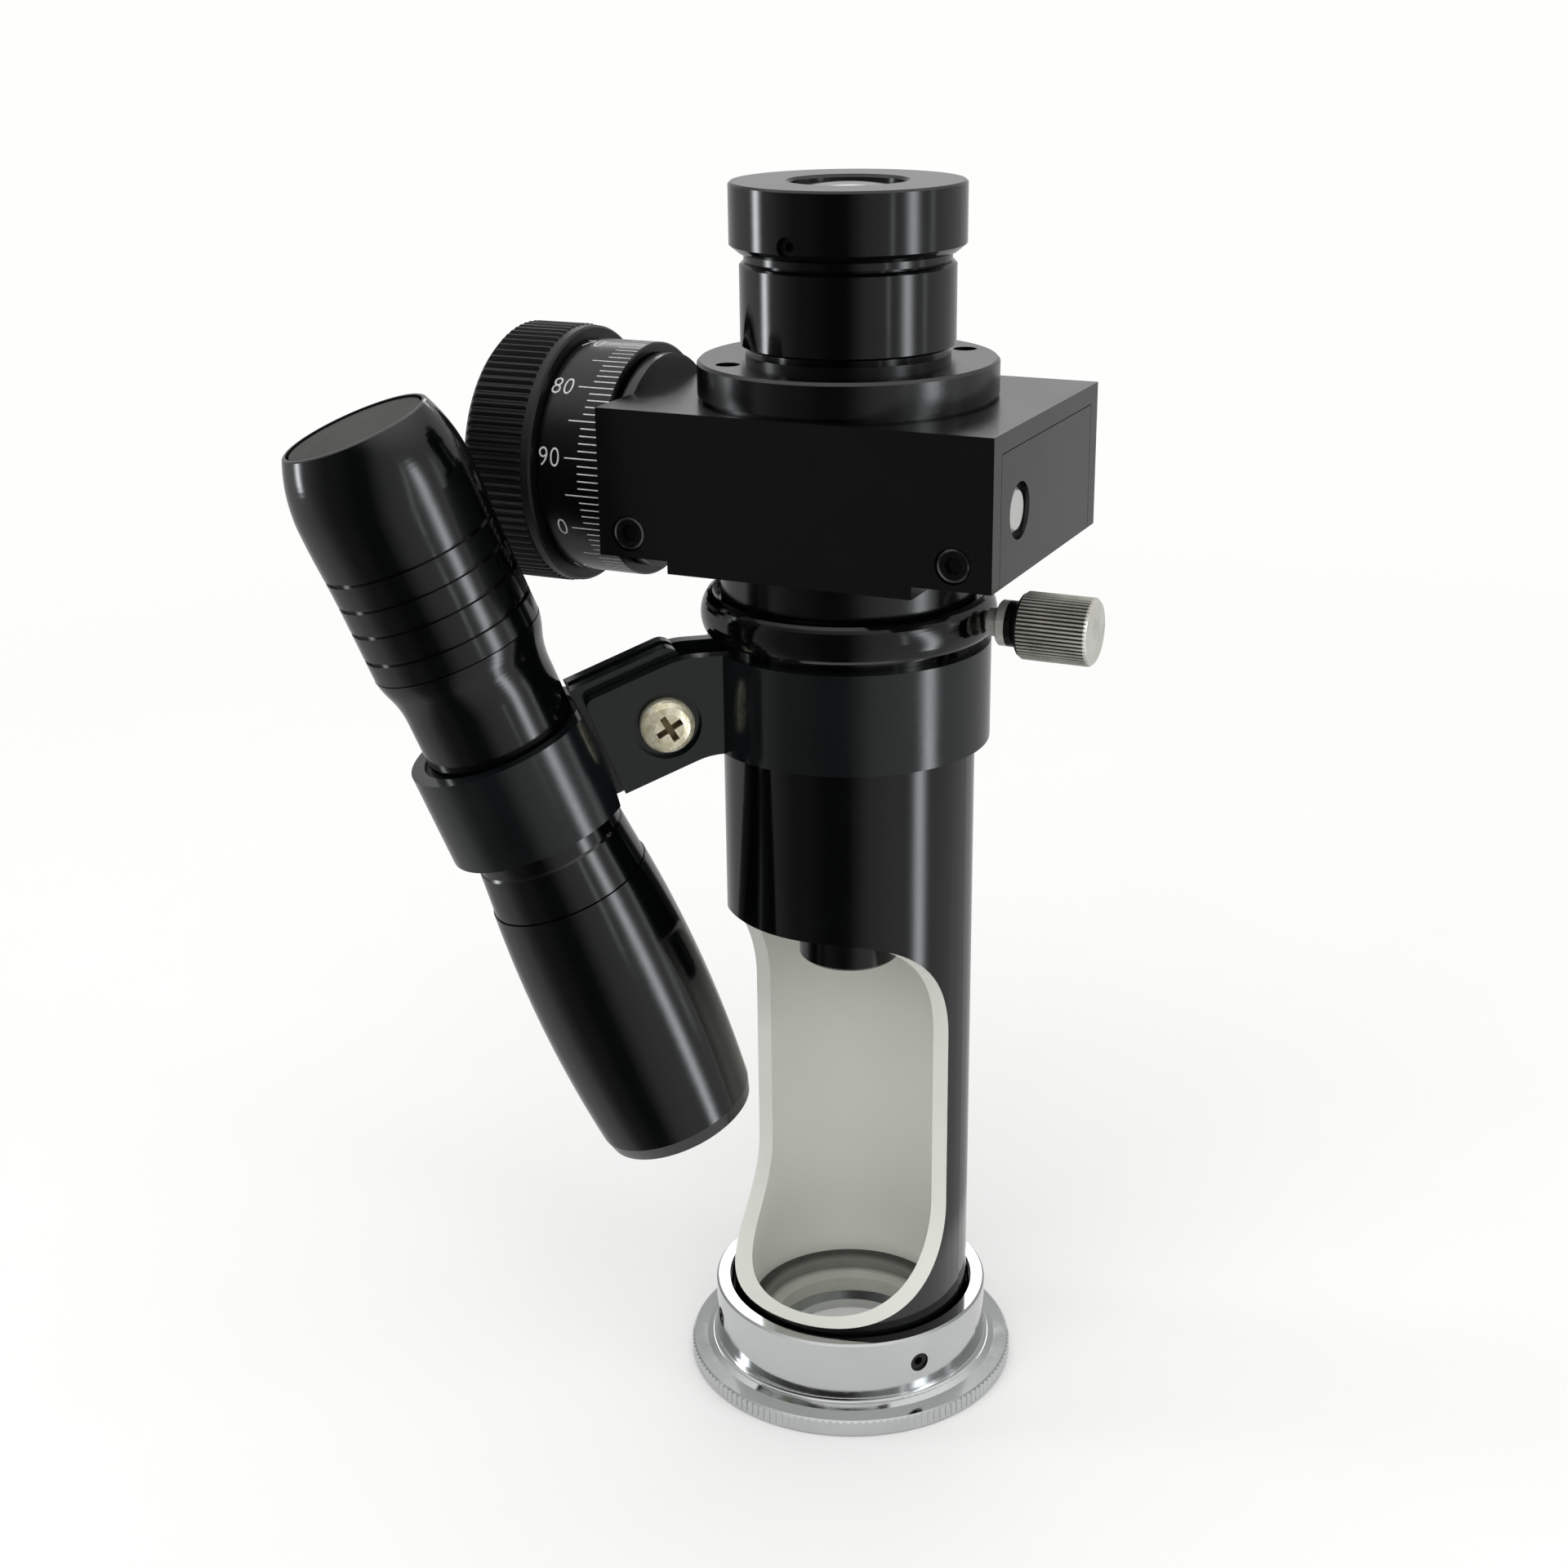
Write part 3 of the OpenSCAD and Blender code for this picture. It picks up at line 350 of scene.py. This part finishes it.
def stage_paint():
    """Stepped ring in the tube's foot: pale grey steps, with painted shadow darkening them towards
    the ring's rim.
    """
    n = Nodes("stage_paint")
    slow = n.noise(160, 4, 0.6)
    fine = n.noise(900)
    pale = n.drift(slow, (0.44, 0.45, 0.40), (0.50, 0.51, 0.46))
    # Painted shadow that the ring turns to towards its rim
    rim_shadow = n.drift(slow, (0.030, 0.030, 0.026), (0.045, 0.045, 0.040))
    radius = n.vector("LENGTH", n.flat_coords())
    color = n.mix(n.remap(radius, STAGE_PALE_R * MM, STAGE_SHADOW_R * MM), pale, rim_shadow)
    return n.surface(color, n.level(fine, 0.42, 0.52), n.bump(fine, 0.03), IOR=1.5)


def plated_screw():
    """Cream plated clamp screw: mottled gloss, with painted shade darkening its cross recess
    towards the floor.
    """
    n = Nodes("champagne_screw")
    slow = n.noise(700, 4, 0.65)
    from_centre = n.vector("SUBTRACT", n.coords(), gain(CLAMP_CENTRE, MM))
    depth = n.vector("DOT_PRODUCT", from_centre, CLAMP_AXIS)
    reach = n.vector("LENGTH", from_centre)
    off_axis = n.calc("SQRT", n.calc("SUBTRACT", n.times(reach, reach), n.times(depth, depth)))
    inside = n.calc("LESS_THAN", off_axis, RECESS_R * MM)
    # Painted shade: the cross recess darkens from its top to its floor
    recess_shade = n.times(n.remap(depth, RECESS_TOP * MM, RECESS_FLOOR * MM), inside)
    cream = n.mix(n.remap(slow, 0.35, 0.65), (0.62, 0.56, 0.36, 1), (0.90, 0.86, 0.70, 1))
    patches = n.remap(n.noise(1100, 3, 0.6), 0.54, 0.64, 0.0, 0.35)
    color = n.mix(patches, cream, (0.40, 0.33, 0.20, 1))
    color = n.mix(recess_shade, color, (0.20, 0.15, 0.075, 1))
    return n.surface(color, n.level(slow, 0.16, 0.34), n.bump(slow, 0.25, 0.0003), Metallic=0.55)


def knurled_nickel():
    """Nickel of the lock screw's knob: bright ribs, painted shade in the grooves between them, and
    a clean end face.
    """
    n = Nodes("knurled_nickel")
    low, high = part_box("lock_knob")
    at = n.split(n.coords())
    radius = n.hypotenuse(n.calc("SUBTRACT", at["Z"], (low.z + high.z) / 2), at["Y"])
    ribbed = n.calc("LESS_THAN", at["X"], high.x - KNOB_PLAIN_END * MM)
    # Painted shade: the grooves between the ribs turn nearly black, except on the plain end
    groove_shade = n.times(n.remap(radius, GROOVE_R * MM, RIB_R * MM, 1, 0), ribbed)
    slow = n.noise(300, 3, 0.6)
    bright = n.drift(slow, (0.58, 0.57, 0.51), (0.76, 0.75, 0.69))
    color = n.mix(groove_shade, bright, (0.030, 0.029, 0.024, 1))
    return n.surface(color, n.level(slow, 0.24, 0.36), n.bump(n.noise(1500), 0.04), Metallic=0.5)


def collared_nickel():
    """Nickel of the lock screw, with the knob's half of its collar painted black as shade and dark
    reflection.
    """
    n = Nodes("collared_nickel")
    slow = n.noise(300, 3, 0.6)
    bright = n.drift(slow, (0.62, 0.61, 0.56), (0.80, 0.79, 0.74))
    # Painted shade and dark reflection: the collar is coloured black beyond this X
    collar_shade = n.calc("GREATER_THAN", n.split(n.coords())["X"], COLLAR_SHADE_X * MM)
    color = n.mix(collar_shade, bright, (0.010, 0.010, 0.009, 1))
    return n.surface(color, n.level(slow, 0.20, 0.30), n.bump(n.noise(1500), 0.03), Metallic=0.55)


def worn_screws():
    """Black cap screws of the box, with an uneven painted highlight on the rim of each head."""
    n = Nodes("worn_screws")
    low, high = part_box("box_screws")
    head = (high.z - low.z) / 2
    at = n.split(n.coords())
    up = n.calc("SUBTRACT", at["Z"], low.z + head)
    left = n.hypotenuse(up, n.calc("SUBTRACT", at["X"], low.x + head))
    right = n.hypotenuse(up, n.calc("SUBTRACT", at["X"], high.x - head))
    radius = n.calc("MINIMUM", left, right)
    # Painted highlight: a pale ring on the rim of each head, broken up by noise
    highlight_breaks = n.remap(n.noise(260, 2), 0.42, 0.60, 0.1, 1)
    rim_highlight = n.times(n.remap(radius, RIM_HIGHLIGHT_START * head, RIM_HIGHLIGHT_FULL * head), highlight_breaks)
    black = n.drift(n.noise(400), (0.004, 0.004, 0.005), (0.010, 0.010, 0.011))
    color = n.mix(rim_highlight, black, (0.24, 0.24, 0.23, 1))
    fine = n.noise(1500)
    return n.surface(color, n.level(fine, 0.26, 0.34), n.bump(fine, 0.05), Metallic=0.6)


def mark_white():
    """Chalky white fill of the marks and figures."""
    n = Nodes("mark_white")
    fine = n.noise(2400, 3, 0.6)
    color = n.mix(n.remap(fine, 0.35, 0.65), (0.52, 0.53, 0.52, 1), (0.74, 0.75, 0.74, 1))
    return n.surface(color, n.level(fine, 0.5, 0.65), n.bump(fine, 0.1, 0.0001))


# Material of each slot in the record
MATERIALS = {
    "foot_chrome": metal("foot_chrome", [0.54, 0.55, 0.55], 0.10, grain=700, bump=0.012,
                         spread=0.04, swing=0.05),
    "screw_black": metal("screw_black", [0.018, 0.018, 0.020], 0.32, grain=1500, bump=0.05,
                         metallic=0.7),
    "stage_paint": stage_paint(),
    "tube_black": two_sided_tube(),
    "gloss_black": painted("gloss_black", [0.0009, 0.0011, 0.0011], 0.10, ior=1.55, bump=0.010,
                           spread=0.03),
    "satin_black": painted("satin_black", [0.0012, 0.0014, 0.0012], 0.22, ior=1.6, grain=1800,
                           bump=0.03, spread=0.03),
    "drum_black": painted("drum_black", [0.0030, 0.0031, 0.0034], 0.24, ior=1.45, grain=1500,
                          spread=0.03),
    "knob_black": painted("knob_black", [0.0045, 0.0048, 0.0048], 0.40, ior=1.45, grain=2200,
                          bump=0.05),
    "grey_aluminium": metal("grey_aluminium", [0.55, 0.56, 0.57], 0.34, stretch=(1, 12, 1)),
    "nickel": metal("nickel", [0.76, 0.75, 0.69], 0.26, grain=1500, swing=0.12, metallic=0.6),
    "bright_steel": metal("bright_steel", [0.72, 0.72, 0.70], 0.24, grain=1400, bump=0.04,
                          stretch=(6, 1, 1), metallic=0.55),
    "brass": metal("brass", [0.72, 0.52, 0.22], 0.28, grain=1300),
    "optical_glass": glass("optical_glass", [0.93, 0.96, 0.95]),
    "clamp_grey": painted("clamp_grey", [0.0040, 0.0052, 0.0056], 0.14, ior=1.6, grain=1600,
                          spread=0.03),
    "champagne_screw": plated_screw(),
    "rubber_black": soft("rubber_black", [0.016, 0.016, 0.017], 0.62, grain=1500, bump=0.15),
    "torch_black": painted("torch_black", [0.0010, 0.0013, 0.0015], 0.12, ior=1.6, bump=0.010,
                           stretch=(1, 1, 0.2), spread=0.03),
    "torch_glass": glass("torch_glass", [0.95, 0.97, 0.96]),
    "reflector": metal("reflector", [0.86, 0.86, 0.87], 0.08, grain=500, bump=0.05),
    "led_module": metal("led_module", [0.72, 0.64, 0.34], 0.35),
    "cell_wrap": soft("cell_wrap", [0.05, 0.22, 0.11], 0.40, grain=900, bump=0.05),
    "grey_plastic": soft("grey_plastic", [0.10, 0.10, 0.10], 0.50, grain=1200, bump=0.08),
    "boot_grey": soft("boot_grey", [0.045, 0.046, 0.041], 0.75, grain=1700, bump=0.35,
                      swing=0.12),
}
# Material of the nodes that look different from the rest of their slot
OWN_MATERIALS = {
    "eye_lens": glass("eye_glass", [0.30, 0.30, 0.285], rough=0.10, through=0.35),
    "lock_knob": knurled_nickel(),
    "lock_screw": collared_nickel(),
    "box_screws": worn_screws(),
}
MARK_MATERIAL = mark_white()


def paint_nodes():
    """Gives every CAD node its material."""
    slot_names = {entry["node"]: entry["material_slot"] for entry in frame["record"]["subparts"]}
    for name, obj in frame["nodes"].items():
        for slot in obj.material_slots:
            slot.material = OWN_MATERIALS.get(name, MATERIALS[slot_names[name]])


def add_object(name, data):
    obj = bpy.data.objects.new(name, data)
    bpy.context.collection.objects.link(obj)
    return obj


def mesh_object(name, bm, material):
    """An object from this bmesh, which is freed."""
    mesh = bpy.data.meshes.new(name)
    bm.to_mesh(mesh)
    bm.free()
    mesh.materials.append(material)
    return add_object(name, mesh)


def division_angle(division):
    """Degrees above the level of the screw at which this division of the drum stands."""
    return ANGLE_90 + DIVISION_ANGLE * (90 - division)


def wrap(points, r, angle):
    """Flat points (along X, up) in mm, laid on a drum of radius r. Their zero height comes at
    this angle above level."""
    out = []
    for x, up in points:
        a = math.radians(angle) + up / r
        out.append(Vector((x, -r * math.cos(a), SCREW_Z + r * math.sin(a))) * MM)
    return out


def tick(bm, x0, x1, width, r, angle):
    """A straight mark along X, in a few faces."""
    steps = 3
    rows = []
    for i in range(steps + 1):
        x = x0 + (x1 - x0) * i / steps
        edge = wrap([(x, -width / 2), (x, width / 2)], r, angle)
        rows.append([bm.verts.new(p) for p in edge])
    for a, b in zip(rows, rows[1:]):
        bm.faces.new([a[0], b[0], b[1], a[1]])


def flat_text(body, height):
    """The outline font's own faces for a short number, as a bmesh that starts at X = 0 and has
    this height, half of it below Y = 0."""
    curve = bpy.data.curves.new("figure", "FONT")
    curve.body = body
    curve.size = 1.0
    # Thinner strokes than the font's, a little further apart
    curve.offset = -0.012
    curve.space_character = 1.08
    obj = add_object("figure", curve)
    bpy.context.view_layer.update()
    mesh = obj.evaluated_get(bpy.context.evaluated_depsgraph_get()).to_mesh()
    bm = bmesh.new()
    bm.from_mesh(mesh)
    obj.to_mesh_clear()
    bpy.data.objects.remove(obj)
    bpy.data.curves.remove(curve)
    low = min(v.co.y for v in bm.verts)
    tall = max(v.co.y for v in bm.verts) - low
    left = min(v.co.x for v in bm.verts)
    k = height / tall
    for v in bm.verts:
        x = (v.co.x - left) * k * FIGURE_NARROWING
        v.co = Vector((x, (v.co.y - low) * k - height / 2, 0))
    # Level cuts, so that the faces can follow the drum
    up = -height / 2 + FIGURE_STRIP
    while up < height / 2:
        geom = bm.verts[:] + bm.edges[:] + bm.faces[:]
        bmesh.ops.bisect_plane(bm, geom=geom, plane_co=(0, up, 0), plane_no=(0, 1, 0))
        up += FIGURE_STRIP
    return bm


def marks_object(name, bm, body):
    """Marks in the white mark material that ride on this body."""
    obj = mesh_object(name, bm, MARK_MATERIAL)
    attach(obj, body)


def drum_marks():
    """The drum's divisions and figures, just clear of its surface."""
    bm = bmesh.new()
    r = DRUM_R + MARK_LIFT
    for i in range(DIVISIONS):
        end = SHORT_MARK_END if i % LONG_EVERY else LONG_MARK_END
        tick(bm, DRUM_RIGHT - MARK_START, DRUM_RIGHT - end, MARK_WIDTH, r, division_angle(i))
    for label in range(0, DIVISIONS, FIGURE_EVERY):
        text = flat_text(str(label), FIGURE_HEIGHT)
        right = max(v.co.x for v in text.verts)
        flat = [(v.co.x - right + DRUM_RIGHT - FIGURE_START, v.co.y) for v in text.verts]
        made = [bm.verts.new(p) for p in wrap(flat, r, division_angle(label))]
        for face in text.faces:
            bm.faces.new([made[v.index] for v in face.verts])
        text.free()
    marks_object("drum_graduations", bm, "drum")


def index_mark():
    """The line on the sleeve that the drum is read against."""
    bm = bmesh.new()
    r = SLEEVE_R + MARK_LIFT
    tick(bm, INDEX_LEFT, INDEX_RIGHT, INDEX_WIDTH, r, division_angle(INDEX_DIVISION))
    marks_object("index_line", bm, "head")


def return_spring_coil():
    """The micrometer's return spring: a copy of the CAD spring in bright steel that stays in
    place. In the real micrometer its left end goes with the carriage, and its right end stays on
    the cover."""
    obj = add_object("return_spring_coil", frame["nodes"]["return_spring"].data.copy())
    obj.data.materials.clear()
    obj.data.materials.append(MATERIALS["bright_steel"])
    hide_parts("return_spring")
    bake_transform(obj)


def floor_material():
    """Pale floor that keeps the object's shadow and fades into the white surroundings."""
    n = Nodes("floor_white")
    away = n.vector("LENGTH", n.coords())
    mirrored = n.new("ShaderNodeLightPath").outputs["Is Glossy Ray"]
    out_of_gloss = n.times(mirrored, n.step(away, *FLOOR_GLOSS_FADE))
    hidden = n.calc("MAXIMUM", n.step(away, *FLOOR_FADE), out_of_gloss)
    diffuse = n.new("ShaderNodeBsdfDiffuse")
    white = n.drift(n.noise(30, 3), (0.948, 0.948, 0.938), (0.956, 0.956, 0.946))
    n.link(white, diffuse.inputs["Color"])
    clear = n.new("ShaderNodeBsdfTransparent")
    both = n.mix_shaders(hidden, diffuse.outputs[0], clear.outputs[0])
    n.link(both, n.out.inputs["Surface"])
    return n.mat


def floor():
    bm = bmesh.new()
    bmesh.ops.create_circle(bm, cap_ends=True, segments=96, radius=FLOOR_R)
    obj = mesh_object("floor", bm, floor_material())


def room_walls(g, azimuth, height):
    """Colour of the grey room and its light ceiling in this direction."""
    ramp = g.new("ShaderNodeValToRGB")
    band = ramp.color_ramp.elements
    band[0].position = 0.0
    band[1].position = 1.0
    for angle, _ in SURROUNDINGS[1:-1]:
        band.new((angle + 180) / 360)
    for element, (_, value) in zip(band, SURROUNDINGS):
        element.color = (value, value * 1.01, value, 1)
    g.link(g.calc("DIVIDE", g.calc("ADD", azimuth, 180), 360), ramp.inputs["Fac"])
    return g.mix(g.step(height, *CEILING_FADE_IN), ramp.outputs["Color"], CEILING_COLOR)


def room_lamps(g, azimuth, height):
    """Light of the room's tall lamps in this direction."""
    total = 0.0
    fade_out = g.calc("SUBTRACT", 1.0, g.step(height, *LAMP_FADE_OUT))
    for middle, half, bright, lean, low in LAMPS:
        off = g.calc("ADD", g.calc("SUBTRACT", azimuth, middle), g.times(height, lean))
        off = g.calc("DIVIDE", off, half)
        glow = g.times(g.calc("EXPONENT", g.times(g.times(off, off), -1.0)), bright)
        glow = g.times(glow, g.step(height, low, low + LAMP_FADE_IN))
        total = g.calc("ADD", total, g.times(glow, fade_out))
    lamps = g.new("ShaderNodeVectorMath", operation="SCALE")
    lamps.inputs[0].default_value = LAMP_COLOR
    g.link(total, lamps.inputs["Scale"])
    return lamps.outputs[0]


def studio_world():
    """White to the eye all round. Gloss and matt surfaces see a grey room with tall lamps."""
    world = bpy.data.worlds.new("studio")
    bpy.context.scene.world = world
    world.use_nodes = True
    g = Graph(world.node_tree)
    view = g.split(g.new("ShaderNodeTexCoord").outputs["Generated"])
    azimuth = g.times(g.calc("ARCTAN2", view["Y"], view["X"]), 180 / math.pi)
    height = g.times(g.calc("ARCSINE", view["Z"]), 180 / math.pi)
    walls = room_walls(g, azimuth, height)
    room = g.new("ShaderNodeBackground")
    g.link(g.vector("ADD", walls, room_lamps(g, azimuth, height)), room.inputs["Color"])
    seen = g.new("ShaderNodeBackground")
    seen.inputs["Color"].default_value = BACKGROUND_COLOR
    path = g.new("ShaderNodeLightPath").outputs
    sight = g.calc("ADD", path["Is Camera Ray"], path["Is Transmission Ray"], clamp=True)
    both = g.mix_shaders(sight, room.outputs[0], seen.outputs[0])
    g.link(both, g.new("ShaderNodeOutputWorld").inputs["Surface"])


def soft_light(name, azimuth, elevation, distance, width, height, power, raised=0.0):
    """A rectangular light that faces the object's middle, or a point raised above it."""
    data = bpy.data.lights.new(name, "AREA")
    data.shape = "RECTANGLE"
    data.size = width
    data.size_y = height
    data.energy = power
    obj = add_object(name, data)
    a, e = math.radians(azimuth), math.radians(elevation)
    away = Vector((math.cos(e) * math.cos(a), math.cos(e) * math.sin(a), math.sin(e)))
    target = Vector((0, 0, MIDDLE_Z + raised))
    obj.location = target + away * distance
    obj.rotation_euler = (target - obj.location).to_track_quat("-Z", "Y").to_euler()
    obj.visible_camera = False
    return obj


def lights():
    # It lights the tube's inside and the marks, and no gloss mirrors it
    fill = soft_light("front_fill", azimuth=-84, elevation=34, distance=1.2, width=1.8,
                      height=1.2, power=8.6)
    fill.visible_glossy = False
    # Only the upper level faces mirror this one towards the camera
    soft_light("panel_behind", azimuth=113, elevation=0, distance=0.5, width=0.30,
               height=0.10, power=0.22, raised=0.267)


def camera():
    """The photograph's viewpoint, fitted to its tube, foot, box and eyepiece."""
    data = bpy.data.cameras.new("photo_view")
    data.sensor_width = 36.0
    data.sensor_fit = "HORIZONTAL"
    data.lens = 53.39
    data.clip_start = 0.01
    data.clip_end = 20
    right = Vector((0.90840, 0.41794, -0.01157))
    up = Vector((-0.13205, 0.31304, 0.94052))
    ahead = Vector((-0.39670, 0.85284, -0.33955))
    place = Matrix((right, up, -ahead)).transposed().to_4x4()
    place.translation = Vector((121.58, -283.15, 202.95)) * MM
    obj = add_object("photo_view", data)
    obj.matrix_world = place
    bpy.context.scene.camera = obj


paint_nodes()
drum_marks()
index_mark()
return_spring_coil()
floor()
studio_world()
lights()
camera()
bpy.context.scene.view_settings.view_transform = "Standard"
